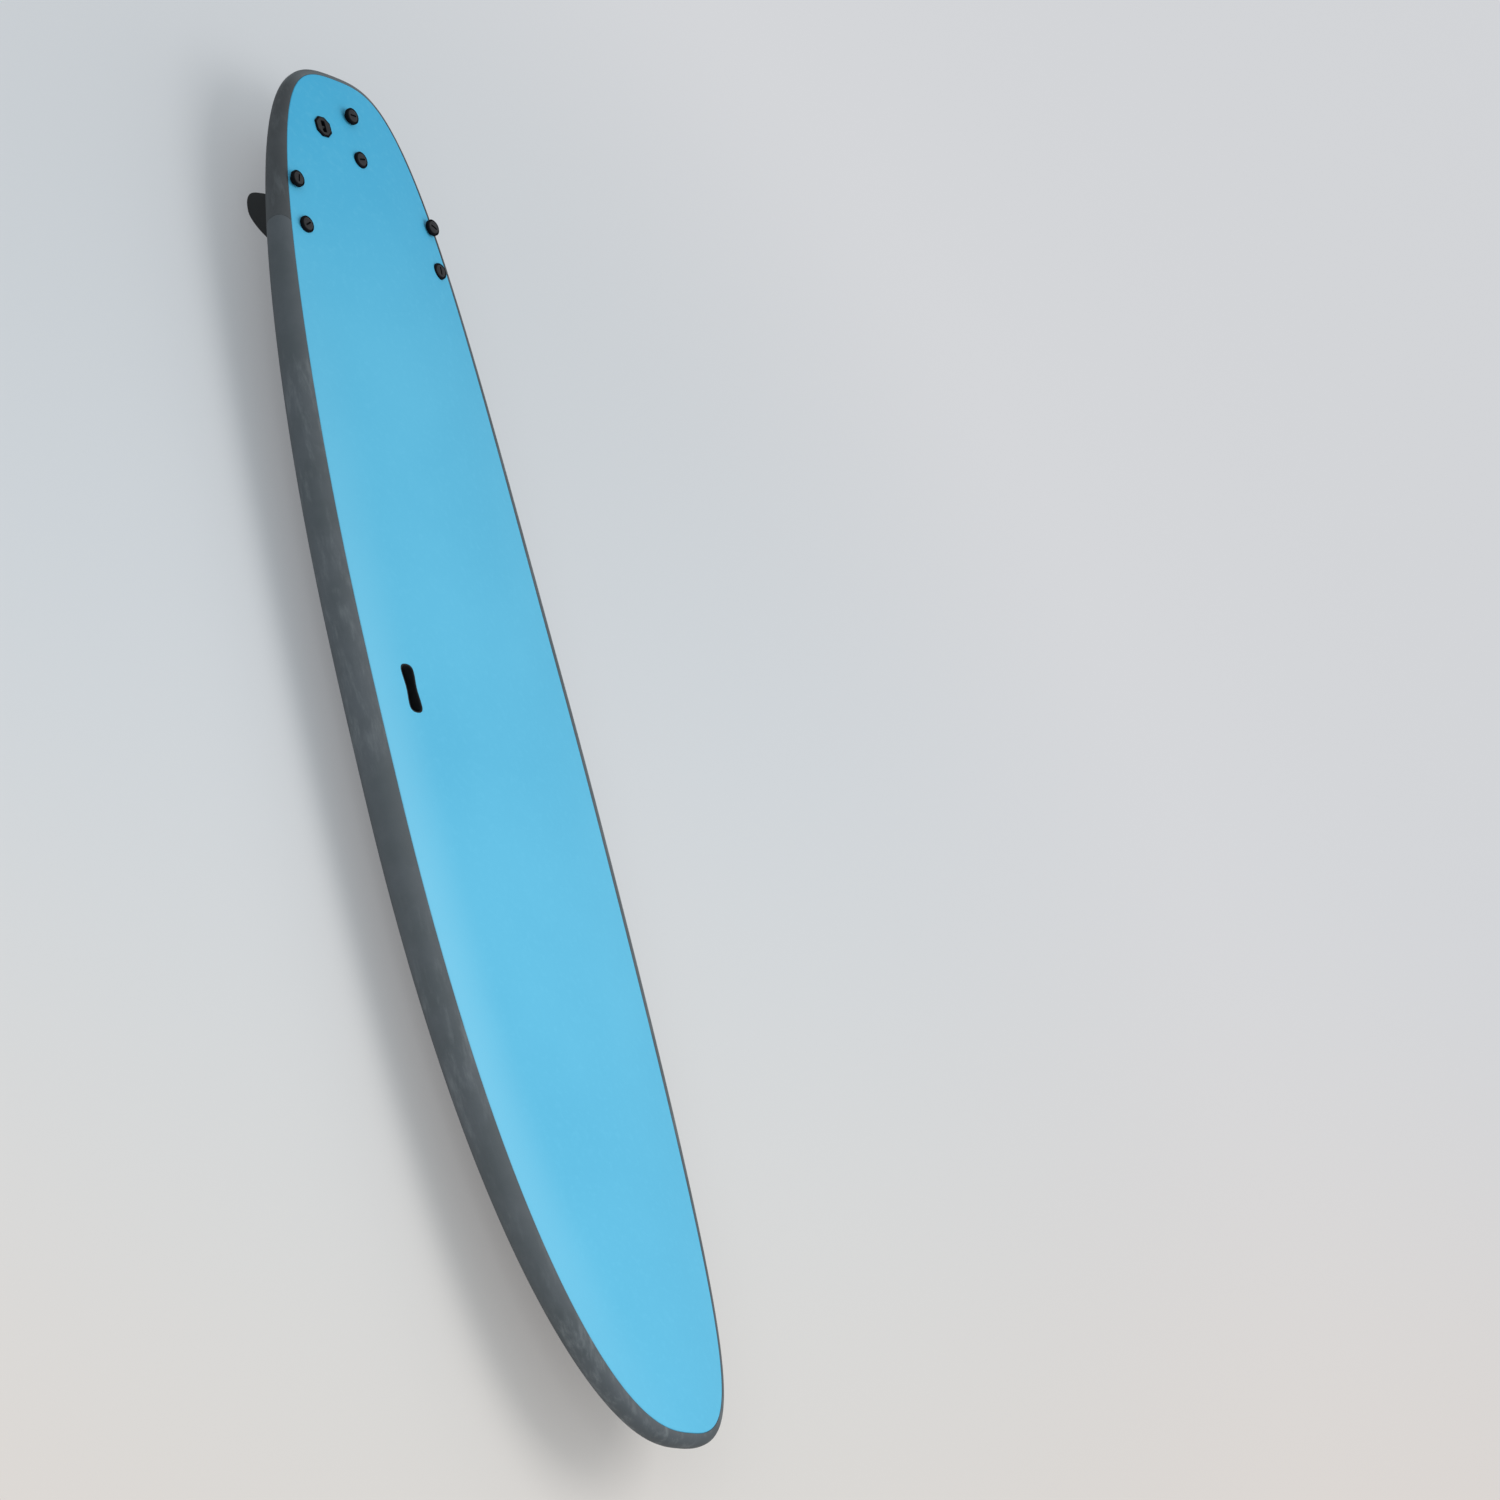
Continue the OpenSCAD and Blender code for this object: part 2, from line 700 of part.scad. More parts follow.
module fin_washer(side, place) {
  lift = washer_lift(place);
  color(HARDWARE) at_washer(side, place) difference() {
    union() {
      if (lift > 0) cylinder(r = collar_r, h = lift + washer_floor / 2);
      translate([0, 0, lift]) cylinder(r = washer_r, h = washer_floor + washer_rim);
    }
    translate([0, 0, lift + washer_floor]) cylinder(r = head_r + play, h = FAR);
    translate([0, 0, -FAR / 2]) cylinder(r = shank_r + play, h = FAR);
  }
}

// Angle of each coin slot, as the screws were left: rear and front, on the left, centre and right fins
SLOT_TURNS = [[-19, 96], [0, 12], [74, 30]];
function slot_turn(side, place) = SLOT_TURNS[side + 1][place < 0 ? 0 : 1];

// Room between a screw's tip and the end of its thread
TIP_ROOM = 4;
module fin_screw(side, place) {
  under_head = washer_lift(place) + washer_floor + seat_gap;
  tip = post_h - thread_depth + TIP_ROOM - (deck_reach(side, place) - washer_seat);
  color(HARDWARE) at_washer(side, place) difference() {
    union() {
      translate([0, 0, under_head]) cylinder(r = head_r, h = head_t);
      translate([0, 0, tip]) cylinder(r = shank_r, h = under_head - tip + head_t / 2);
    }
    translate([0, 0, under_head + head_t - slot_d])
      rotate(slot_turn(side, place))
        translate([-slot_l / 2, -slot_w / 2, 0])
          cube([slot_l, slot_w, FAR]);
  }
}

core_left();
core_centre();
core_right();
stringer(-1);  // stringer_left
stringer(1);  // stringer_right
deck_skin();
bottom_skin();
rail_band();
rail_tail();
handle_cup();
leash_plug();
leash_bar();
fin(-1, side_fin_depth);  // fin_left
fin(0, centre_fin_depth);  // fin_centre
fin(1, side_fin_depth);  // fin_right
fin_sleeve(-1, -1);  // fin_sleeve_left_rear
fin_sleeve(-1, 1);  // fin_sleeve_left_front
fin_sleeve(0, -1);  // fin_sleeve_centre_rear
fin_sleeve(0, 1);  // fin_sleeve_centre_front
fin_sleeve(1, -1);  // fin_sleeve_right_rear
fin_sleeve(1, 1);  // fin_sleeve_right_front
fin_washer(-1, -1);  // fin_washer_left_rear
fin_washer(-1, 1);  // fin_washer_left_front
fin_washer(0, -1);  // fin_washer_centre_rear
fin_washer(0, 1);  // fin_washer_centre_front
fin_washer(1, -1);  // fin_washer_right_rear
fin_washer(1, 1);  // fin_washer_right_front
fin_screw(-1, -1);  // fin_screw_left_rear
fin_screw(-1, 1);  // fin_screw_left_front
fin_screw(0, -1);  // fin_screw_centre_rear
fin_screw(0, 1);  // fin_screw_centre_front
fin_screw(1, -1);  // fin_screw_right_rear
fin_screw(1, 1);  // fin_screw_right_front
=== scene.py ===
import math

import bmesh
import bpy
from mathutils import Matrix, Vector


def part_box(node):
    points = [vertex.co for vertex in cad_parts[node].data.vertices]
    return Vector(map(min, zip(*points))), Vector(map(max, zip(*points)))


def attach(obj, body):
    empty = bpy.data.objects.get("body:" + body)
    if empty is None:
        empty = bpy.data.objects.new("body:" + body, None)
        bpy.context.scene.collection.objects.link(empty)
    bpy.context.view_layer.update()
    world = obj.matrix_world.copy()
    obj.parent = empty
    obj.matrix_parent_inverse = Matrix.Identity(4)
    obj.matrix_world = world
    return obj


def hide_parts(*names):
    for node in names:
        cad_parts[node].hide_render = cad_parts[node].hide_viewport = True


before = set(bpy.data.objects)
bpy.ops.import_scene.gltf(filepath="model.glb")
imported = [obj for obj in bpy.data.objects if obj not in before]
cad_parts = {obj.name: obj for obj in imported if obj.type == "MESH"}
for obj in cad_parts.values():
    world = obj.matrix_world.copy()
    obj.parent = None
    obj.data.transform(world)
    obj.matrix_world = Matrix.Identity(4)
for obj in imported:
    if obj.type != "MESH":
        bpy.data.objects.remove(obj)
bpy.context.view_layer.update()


# Core: three lengthwise strips of white expanded polystyrene, sawn from one shaped block.
# The beads were fused by steam in a mould, so a sawn face shows pressed cells 3 to 5 mm wide.
class Shade:
    """One socket of a finish. Sums, products and powers of shades add their own Math nodes."""

    def __init__(self, tree, socket):
        self.tree = tree
        self.socket = socket

    def node(self, kind, settings=None, sockets=None, out=0):
        """Adds a node of any kind: its settings first, then the values or shades of its sockets."""
        made = self.tree.nodes.new(kind)
        for name, value in (settings or {}).items():
            setattr(made, name, value)
        for name, value in (sockets or {}).items():
            if isinstance(value, Shade):
                self.tree.links.new(value.socket, made.inputs[name])
            else:
                made.inputs[name].default_value = value
        return Shade(self.tree, made.outputs[out])

    def maths(self, operation, a, b):
        return self.node("ShaderNodeMath", {"operation": operation}, {0: a, 1: b})

    def __add__(self, other):
        return self.maths("ADD", self, other)

    def __radd__(self, other):
        return self.maths("ADD", other, self)

    def __sub__(self, other):
        return self.maths("SUBTRACT", self, other)

    def __rsub__(self, other):
        return self.maths("SUBTRACT", other, self)

    def __mul__(self, other):
        return self.maths("MULTIPLY", self, other)

    def __rmul__(self, other):
        return self.maths("MULTIPLY", other, self)

    def __pow__(self, other):
        return self.maths("POWER", self, other)


def paint(red, green, blue):
    """Colour given as it looks on a screen, in 0 to 255, as the shader wants it."""
    share = [c / 255 for c in (red, green, blue)]
    return [c / 12.92 if c < 0.04045 else ((c + 0.055) / 1.055) ** 2.4 for c in share] + [1]


def start_finish(name, fixed=None):
    """New finish with the values that are the same all over; gives it and the place on the board."""
    finish = bpy.data.materials.new(name)
    finish.use_nodes = True
    tree = finish.node_tree
    for socket, value in (fixed or {}).items():
        tree.nodes["Principled BSDF"].inputs[socket].default_value = value
    return finish, Shade(tree, None).node("ShaderNodeTexCoord", out=3)


def lay_on(finish, varying):
    """Feeds the shades that change over the surface into the finish."""
    tree = finish.node_tree
    for socket, shade in varying.items():
        tree.links.new(shade.socket, tree.nodes["Principled BSDF"].inputs[socket])


def cells(place, size, feature="F1"):
    """Packed cells of the given size in metres, 0 in the middle of each."""
    sockets = {"Vector": place, "Scale": 1 / size}
    return place.node("ShaderNodeTexVoronoi", {"feature": feature}, sockets)


def between(shade, low, high):
    """0 below low, 1 above high and a soft step between."""
    settings = {"interpolation_type": "SMOOTHSTEP", "clamp": True}
    return shade.node("ShaderNodeMapRange", settings, {0: shade, 1: low, 2: high})


def blended(share, first, second):
    """Colour that goes from the first to the second as the share goes from 0 to 1."""
    settings = {"data_type": "RGBA", "clamp_factor": True}
    return share.node("ShaderNodeMix", settings, {0: share, 6: first, 7: second}, out=2)


def raised(height, depth, strength=1.0):
    """Bumps of the given depth in metres, from a shade between 0 and 1."""
    sockets = {"Height": height, "Distance": depth, "Strength": strength}
    return height.node("ShaderNodeBump", None, sockets)


def dress(node, finish):
    """Gives a carried-over solid its finish."""
    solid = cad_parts[node]
    if not solid.material_slots:
        solid.data.materials.append(finish)
    for slot in solid.material_slots:
        slot.material = finish


bead_size = 0.004
bead_foam, place = start_finish("bead_foam", {"Roughness": 0.85})
bead = cells(place, bead_size)
lay_on(bead_foam, {
    "Base Color": blended(between(bead, 0.35, 0.75), paint(244, 243, 238), paint(222, 221, 214)),
    "Normal": raised(1 - bead, 0.0006, 0.6),
})
for strip in ("core_left", "core_centre", "core_right"):
    dress(strip, bead_foam)


# Stringers: two strips of thin birch plywood glued on edge between the core strips.
# The face grain runs with the board's length, with fine dark pores and the odd streak.
def stretched(place, along):
    """The place on the board, drawn out or packed along each axis."""
    return place.node("ShaderNodeVectorMath", {"operation": "MULTIPLY"}, {0: place, 1: along})


def mottle(place, size, detail=3, rough=0.5):
    """Soft cloudy shade from 0 to 1, with patches of about the given size in metres."""
    sockets = {"Vector": place, "Scale": 1 / size, "Detail": detail, "Roughness": rough}
    return place.node("ShaderNodeTexNoise", None, sockets)


pore_size, streak_size = 0.004, 0.03
ply, place = start_finish("stringer_ply", {"Roughness": 0.6})
grain = mottle(stretched(place, (1, 0.03, 1)), pore_size, 6, 0.65)
streak = mottle(stretched(place, (1, 0.05, 1)), streak_size, 3)
birch = blended(between(grain, 0.3, 0.7), paint(222, 187, 136), paint(191, 150, 98))
lay_on(ply, {
    "Base Color": blended(between(streak, 0.55, 0.8), birch, paint(168, 126, 80)),
    "Normal": raised(grain, 0.0003, 0.5),
})
for strip in ("stringer_left", "stringer_right"):
    dress(strip, ply)


# Sleeves: six moulded nylon tubes glued through the core, so that the screws don't crush the foam.
# They are plain black tube, a little dusty with foam where the core was drilled.
sides = {"left": -1, "centre": 0, "right": 1}
places = {"rear": -1, "front": 1}
tube_black, place = start_finish("sleeve_nylon", {"Roughness": 0.55})
dust = mottle(place, 0.006, 5, 0.6)
lay_on(tube_black, {
    "Base Color": blended(between(dust, 0.5, 0.8), paint(38, 40, 42), paint(82, 84, 84)),
    "Normal": raised(dust, 0.0001, 0.4),
})
for side in sides:
    for end in places:
        dress(f"fin_sleeve_{side}_{end}", tube_black)


# Slick bottom: a sheet of hard polyethylene, heat bonded under the core from rail to rail.
# It is satin smooth, with hair scratches along the board from sand and car racks.
board_length = 2.440
board_width = 0.570
wide_point = 0.140
nose_reach, nose_point = 2.2, 0.38
tail_reach, tail_point = 1.98, 0.305
board_thickness = 0.090
nose_thickness, tail_thickness = 0.054, 0.045
deck_crown = 0.026
rail_top_share, rail_bottom_share = 0.42, 0.47
flat_half = 0.150
nose_rocker, nose_kick, tail_rocker = 0.053, 0.031, 0.062
half_length = board_length / 2
nose_length = half_length - wide_point
tail_length = half_length + wide_point
glue = 0.0002
slick = 0.0025


def rocker(y):
    """Height of the bottom's centre line."""
    u = max(abs(y) - flat_half, 0) / (half_length - flat_half)
    return nose_rocker * u ** 2 + nose_kick * u ** 4 if y > 0 else tail_rocker * u ** 2


def thickness(y):
    """Thickness of the board on its centre line."""
    tip = nose_thickness if y > 0 else tail_thickness
    return board_thickness - (board_thickness - tip) * (abs(y) / half_length) ** 3


def rail_height(y):
    return thickness(y) * (1 - deck_crown / board_thickness)


def end_share(y):
    """Share of the way from the widest place to the nearer end."""
    run = (y - wide_point) / nose_length if y > wide_point else (wide_point - y) / tail_length
    return min(run, 1)


def half_width(y):
    at_nose = y > wide_point
    reach, point = (nose_reach, nose_point) if at_nose else (tail_reach, tail_point)
    return board_width / 2 * (1 - end_share(y) ** reach) ** point


def outline(inset, station):
    """Plan point of the outline drawn in by an inset. Stations go 0 tail, 1 right, 2 nose, 3 left."""
    station %= 4
    along = station if station <= 2 else 4 - station
    side = 1 if station <= 2 else -1
    at_tail = along <= 1
    u = along if at_tail else 2 - along
    reach, point = (tail_reach, tail_point) if at_tail else (nose_reach, nose_point)
    run = inset - tail_length if at_tail else nose_length - inset
    a = math.pi / 2 * u ** (1 / (2 * point))
    x = side * (board_width / 2 - inset) * math.sin(a) ** (2 * point)
    return x, wide_point + run * max(math.cos(a), 0) ** (2 / reach)


def bottom_inset(station):
    return rail_bottom_share * rail_height(outline(0, station)[1])


stations_each_side = 320
ring_stations = [2 * i / stations_each_side for i in range(2 * stations_each_side)]


def sheet_shape(edge, insets, columns, upper, under):
    """Sheet over the whole plan: rings along its edge, then rungs from side to side inside them."""
    shape = bmesh.new()
    rims = []
    for height in (upper, under):
        rings = []
        for inset in insets:
            spots = [outline(edge(s) + inset, s) for s in ring_stations]
            rings.append([shape.verts.new((x, y, height(x, y, inset))) for x, y in spots])
        for outer, inner in zip(rings, rings[1:]):
            for i in range(len(outer)):
                j = (i + 1) % len(outer)
                shape.faces.new((outer[i], outer[j], inner[j], inner[i]))
        inner = rings[-1]
        rungs = []
        for i in range(1, stations_each_side):
            right, left = inner[i], inner[-i]
            row = [left]
            for c in range(1, columns):
                p = left.co.lerp(right.co, c / columns)
                row.append(shape.verts.new((p.x, p.y, height(p.x, p.y, insets[-1]))))
            rungs.append(row + [right])
        for row, following in zip(rungs, rungs[1:]):
            for c in range(columns):
                shape.faces.new((row[c], row[c + 1], following[c + 1], following[c]))
        for c in range(columns):
            shape.faces.new((inner[0], rungs[0][c + 1], rungs[0][c]))
            shape.faces.new((inner[stations_each_side], rungs[-1][c], rungs[-1][c + 1]))
        rims.append(rings[0])
    for i in range(len(ring_stations)):
        j = (i + 1) % len(ring_stations)
        shape.faces.new((rims[0][i], rims[1][i], rims[1][j], rims[0][j]))
    return shape


def rolled(distance, radius):
    """Fall of a rounded edge at a distance from it."""
    reach = max(radius - distance, 0)
    return radius - math.sqrt(radius ** 2 - reach ** 2)


def new_object(name, shape):
    bmesh.ops.recalc_face_normals(shape, faces=shape.faces)
    mesh = bpy.data.meshes.new(name)
    shape.to_mesh(mesh)
    shape.free()
    made = bpy.data.objects.new(name, mesh)
    bpy.context.scene.collection.objects.link(made)
    return made


def piece(name, shape, finish, body, cutter=None, crease=32):
    """Object of a closed shape, less what a cutter takes out, that rides on a body."""
    made = new_object(name, shape)
    if cutter:
        tool = new_object(name + "_cutter", cutter)
        cut = made.modifiers.new("cut", "BOOLEAN")
        cut.solver = "EXACT"
        cut.object = tool
        whole = made.evaluated_get(bpy.context.evaluated_depsgraph_get())
        mesh = bpy.data.meshes.new_from_object(whole)
        made.modifiers.clear()
        made.data = mesh
        bpy.data.objects.remove(tool)
    made.data.shade_smooth()
    made.data.set_sharp_from_angle(angle=math.radians(crease))
    made.data.materials.clear()
    made.data.materials.append(finish)
    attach(made, body)
    return made


slick_rings = (0, 0.0003, 0.0008, 0.0015, 0.004, 0.012)
slick_columns = 24
slick_round = 0.0012
slick_sheet, place = start_finish("slick_sheet")
haze = mottle(place, 0.25, 4)
scratch = mottle(stretched(place, (1, 0.02, 1)), 0.0016, 4, 0.7)
scored = between(scratch, 0.62, 0.78)
dulled = blended(between(haze, 0.35, 0.75), paint(56, 61, 64), paint(66, 71, 74))
lay_on(slick_sheet, {
    "Base Color": blended(scored * 0.35, dulled, paint(112, 117, 119)),
    "Roughness": 0.3 + haze * 0.12 + scored * 0.15,
    "Normal": raised(scratch, 0.00012, 0.35),
})
bottom = piece(
    "bottom_slick",
    sheet_shape(
        lambda s: bottom_inset(s) + glue, slick_rings, slick_columns,
        lambda x, y, d: rocker(y) + slick,
        lambda x, y, d: rocker(y) + rolled(d, slick_round),
    ),
    slick_sheet, "board",
)
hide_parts("bottom_skin")


# Deck: a sheet of soft closed-cell foam, heat laminated over the core and trimmed along the rail.
# It is sky blue all through, matt, with the fine pebble of the embossing roller. Its blue is painted
# deeper at the tail as painted shade and paler toward the nose as painted sheen, and a band along the
# right edge beside the finger grip is painted pale as a painted sheen.
deck_foam = 0.005
deck_seam = 0.0016
deck_rings = (0, 0.0002, 0.0005, 0.001, 0.0016, 0.003, 0.008)
deck_columns = 44
end_roll = 16
slope_step = 0.001


def upper_radius(y):
    return rail_top_share * rail_height(y)


def deck_height(x, y):
    """Height of the deck, which falls from the centre line to its edge and rolls down at both ends."""
    fall = deck_crown * thickness(y) / board_thickness
    room = half_width(y) - upper_radius(y)
    across = min((x / room) ** 2, 1) if room > 0 else 1
    return rocker(y) + thickness(y) - fall * (1 - (1 - across) * (1 - end_share(y) ** end_roll))


def deck_inset(station):
    return upper_radius(outline(0, station)[1])


def frame_on_deck(x, y):
    """Frame on the deck with Z along its normal."""
    step = slope_step
    slope_x = (deck_height(x + step, y) - deck_height(x - step, y)) / (2 * step)
    slope_y = (deck_height(x, y + step) - deck_height(x, y - step)) / (2 * step)
    lean = Matrix.Rotation(-math.atan(slope_x), 4, "Y") @ Matrix.Rotation(math.atan(slope_y), 4, "X")
    return Matrix.Translation((x, y, deck_height(x, y))) @ lean


def skinned(rings, frame_here, shape=None, closed=False):
    """Body through a run of closed rings, capped at both ends or closed on itself."""
    shape = shape or bmesh.new()
    loops = [[shape.verts.new(frame_here @ Vector(p)) for p in ring] for ring in rings]
    pairs = list(zip(loops, loops[1:] + loops[:1])) if closed else list(zip(loops, loops[1:]))
    for low, high in pairs:
        for i in range(len(low)):
            j = (i + 1) % len(low)
            shape.faces.new((low[i], low[j], high[j], high[i]))
    if not closed:
        shape.faces.new(list(reversed(loops[0])))
        shape.faces.new(loops[-1])
    return shape


def turned(profile, frame_here, steps=72, shape=None, closed=False):
    """Body of revolution from pairs of radius and height."""
    angles = [2 * math.pi * i / steps for i in range(steps)]
    rings = [[(r * math.cos(a), r * math.sin(a), z) for a in angles] for r, z in profile]
    return skinned(rings, frame_here, shape, closed)


# Places of the fins and of their screws, which the deck is drilled for
screw_spacing = 0.083
fin_from_tail = {"left": 0.289, "centre": 0.127, "right": 0.289}
rear_screw_from_rail = 0.02875
fin_toe = math.radians(2.1)
reach_rounds = 6


def fin_frame(side):
    """Frame on the bottom at a fin, with Z along its screws and Y along its base."""
    y = fin_from_tail[side] - half_length
    run = screw_spacing / 2
    x = sides[side] * (half_width(y - run) - rear_screw_from_rail - run * math.sin(fin_toe))
    tilt = math.atan((rocker(y + slope_step) - rocker(y - slope_step)) / (2 * slope_step))
    lean = Matrix.Rotation(tilt, 4, "X") @ Matrix.Rotation(sides[side] * fin_toe, 4, "Z")
    return Matrix.Translation((x, y, rocker(y))) @ lean


def deck_reach(side, end):
    """Length of a screw's axis from the bottom to the deck."""
    reach = 0
    for step in range(reach_rounds):
        p = fin_frame(side) @ Vector((0, places[end] * screw_spacing / 2, reach))
        reach += deck_height(p.x, p.y) - p.z
    return reach


washer_seat = 0.0008
washer_foot = {"rear": 0.0095, "front": 0.01475}
washer_lift = {"rear": 0.006, "front": 0}


def washer_frame(side, end):
    """Frame on a screw's axis, with its origin at the underside of the washer."""
    lift = deck_reach(side, end) - washer_seat
    return fin_frame(side) @ Matrix.Translation((0, places[end] * screw_spacing / 2, lift))


grip_from_rail, grip_y = 0.103, -0.043
grip_length, grip_width, grip_waist = 0.081, 0.022, 0.018
grip_depth, grip_wall = 0.045, 0.0025
lobe_steps, lobe_power = 30, 0.8
grip_frame = frame_on_deck(half_width(grip_y) - grip_from_rail, grip_y)
plug_x, plug_from_tail = 0.076, 0.129
plug_frame = frame_on_deck(plug_x, plug_from_tail - half_length)
plug_radius, plug_depth = 0.014, 0.018


def grip_ring(grow, height):
    """Outline of the finger grip, wide at both ends with a waist between, at a height."""
    lobe = (grip_length - grip_width) / 2
    wide, waist = grip_width / 2 + grow, grip_waist / 2 + grow
    ring = []
    for turn in (1, -1):
        for k in range(lobe_steps + 1):
            a = math.pi * k / lobe_steps
            out = math.copysign(abs(math.cos(a)) ** lobe_power, math.cos(a))
            y = lobe + wide * abs(math.sin(a)) ** lobe_power
            ring.append((turn * wide * out, turn * y, height))
        for k in range(1, lobe_steps):
            y = lobe * (1 - 2 * k / lobe_steps)
            x = -waist - (wide - waist) * math.sin(math.pi / 2 * y / lobe) ** 2
            ring.append((turn * x, turn * y, height))
    return ring


drill, drill_sides = 0.03, 64
hole_radius, hole_gap, seat_gap = 0.0056, 0.0003, 0.0001
plug_hole = plug_radius + glue
grip_cut = 0.02
holes = bmesh.new()
for side in sides:
    for end in places:
        seat = washer_foot[end] + hole_gap
        profile = ((hole_radius, -drill), (hole_radius, -seat_gap), (seat, -seat_gap), (seat, drill))
        turned(profile, washer_frame(side, end), drill_sides, holes)
turned(((plug_hole, -drill), (plug_hole, drill)), plug_frame, drill_sides, holes)
skinned([grip_ring(grip_wall + hole_gap, z) for z in (-grip_cut, drill)], grip_frame, holes)


def measured(place, axis):
    """The place along one axis of the board, in metres from its middle."""
    return place.node("ShaderNodeSeparateXYZ", None, {0: place}, out=axis)


pebble_size = 0.0014
# Width, reach and strength of the pale band along the deck's right edge, which is a painted sheen.
edge_sheen_full, edge_sheen_gone, edge_sheen_strength = 0.025, 0.13, 0.55
edge_sheen_start, edge_sheen_most = -1.1, 0.5
# Where the deck's blue goes from the deeper tail tone, painted shade, to the paler tone, painted sheen.
tail_shade_end, sheen_start_along = -1.25, -0.6
deck_blue, place = start_finish("deck_blue_foam", {"Specular IOR Level": 0.35})
cloud = mottle(place, 0.35, 3)
fleck = mottle(place, 0.012, 4, 0.6)
pebble = cells(place, pebble_size, "SMOOTH_F1")
lengthwise = measured(place, 1)
to_nose = lengthwise.maths("MAXIMUM", (lengthwise - wide_point) * (1 / nose_length), 0)
to_tail = lengthwise.maths("MAXIMUM", (wide_point - lengthwise) * (1 / tail_length), 0)
narrowed = (1 - to_nose ** nose_reach) ** nose_point * (1 - to_tail ** tail_reach) ** tail_point
from_right_edge = narrowed * (board_width / 2) - measured(place, 0)
# Pale band along the right edge, strongest from the tail half to the middle: a painted sheen.
right_edge_band = 1 - between(from_right_edge, edge_sheen_full, edge_sheen_gone)
scuffs_and_sheen = right_edge_band * between(lengthwise, edge_sheen_start, edge_sheen_most) * (1 - to_nose ** 3) * edge_sheen_strength
# Painted light along the deck: the deeper tail blue is painted shade and the paler blue from the middle
# on is painted sheen.
tail_shade_blue = blended(between(cloud, 0.3, 0.7), paint(66, 176, 219), paint(72, 181, 223))
sheen_blue = blended(between(cloud, 0.3, 0.7), paint(90, 186, 222), paint(96, 191, 226))
painted_light_along = blended(between(lengthwise, tail_shade_end, sheen_start_along), tail_shade_blue, sheen_blue)
sky = blended(scuffs_and_sheen, painted_light_along, paint(136, 210, 238))
lay_on(deck_blue, {
    "Base Color": blended(between(fleck, 0.45, 0.8) * 0.3, sky, paint(110, 200, 232)),
    "Roughness": 0.58 + fleck * 0.14,
    "Normal": raised(1 - pebble, 0.00018, 0.55),
})
deck = piece(
    "deck_foam_sheet",
    sheet_shape(
        lambda s: deck_inset(s) + glue, deck_rings, deck_columns,
        lambda x, y, d: deck_height(x, y) - rolled(d, deck_seam),
        lambda x, y, d: deck_height(x, y) - deck_foam,
    ),
    deck_blue, "board", holes,
)
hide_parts("deck_skin")


# Rails: charcoal foam wrapped from the deck's edge round the side to the bottom, in two lengths.
# The long one goes round the nose and the short one round the tail; they butt together by the side fins.
rail_foam = 0.005
rail_seam = 0.0013
rail_end_gaps = (0.00015, 0.0004, 0.0008, 0.0013, 0.002)
rail_end_round = 0.0013
tail_stations, quarter_stations = 17, 28
tail_wrap = tail_stations / quarter_stations
arc_steps, inner_stride = 16, 4
band_steps, tail_steps = 620, 320


def rail_section(station, pull=0):
    """Closed section of the rail foam at a station, as inset and height, drawn in by a pull."""
    upper, lower = deck_inset(station), bottom_inset(station)
    x, y = outline(upper, station)
    top = deck_height(x, y)
    turns = [math.pi / 2 * k / arc_steps for k in range(arc_steps + 1)]
    seam_turns = [0, 0.006, 0.016, 0.03]
    section = []
    for a in seam_turns + turns[1:]:
        c, s = math.cos(a), math.sin(a)
        fall = rolled(upper * s, rail_seam) + pull
        section.append((upper * (1 - s) + pull * s, top - upper * (1 - c) - fall * c))
    for a in turns[:-1] + [math.pi / 2 - b for b in reversed(seam_turns)]:
        c, s = math.cos(a), math.sin(a)
        inset = lower * (1 - c)
        fall = rolled(lower * c, rail_seam) + pull
        base = rocker(outline(inset, station)[1])
        section.append((inset + pull * c, base + lower * (1 - s) + fall * s))
    inner_turns = turns[::-inner_stride]
    for a in inner_turns:
        inset = rail_foam + (lower - rail_foam) * (1 - math.cos(a))
        base = rocker(outline(inset, station)[1])
        section.append((inset, base + slick + (lower - slick) * (1 - math.sin(a))))
    for a in inner_turns:
        inset = rail_foam + (upper - rail_foam) * (1 - math.sin(a))
        section.append((inset, top - deck_foam - (upper - deck_foam) * (1 - math.cos(a))))
    return section


def rail_shape(first, last, steps):
    """Rail foam swept from one station to another, its two ends a little rounded."""
    stride = 0.001
    speed = math.dist(outline(0, first), outline(0, first + stride)) / stride
    ends = [gap / speed for gap in rail_end_gaps]
    middle = [first + (last - first) * k / steps for k in range(1, steps)]
    stations = [first + e for e in ends] + middle + [last - e for e in reversed(ends)]
    rings = []
    for s in stations:
        gap = min(s - first, last - s) * speed
        ring = []
        for inset, height in rail_section(s, rolled(gap, rail_end_round)):
            x, y = outline(inset, s)
            ring.append((x, y, height))
        rings.append(ring)
    return skinned(rings, Matrix.Identity(4))


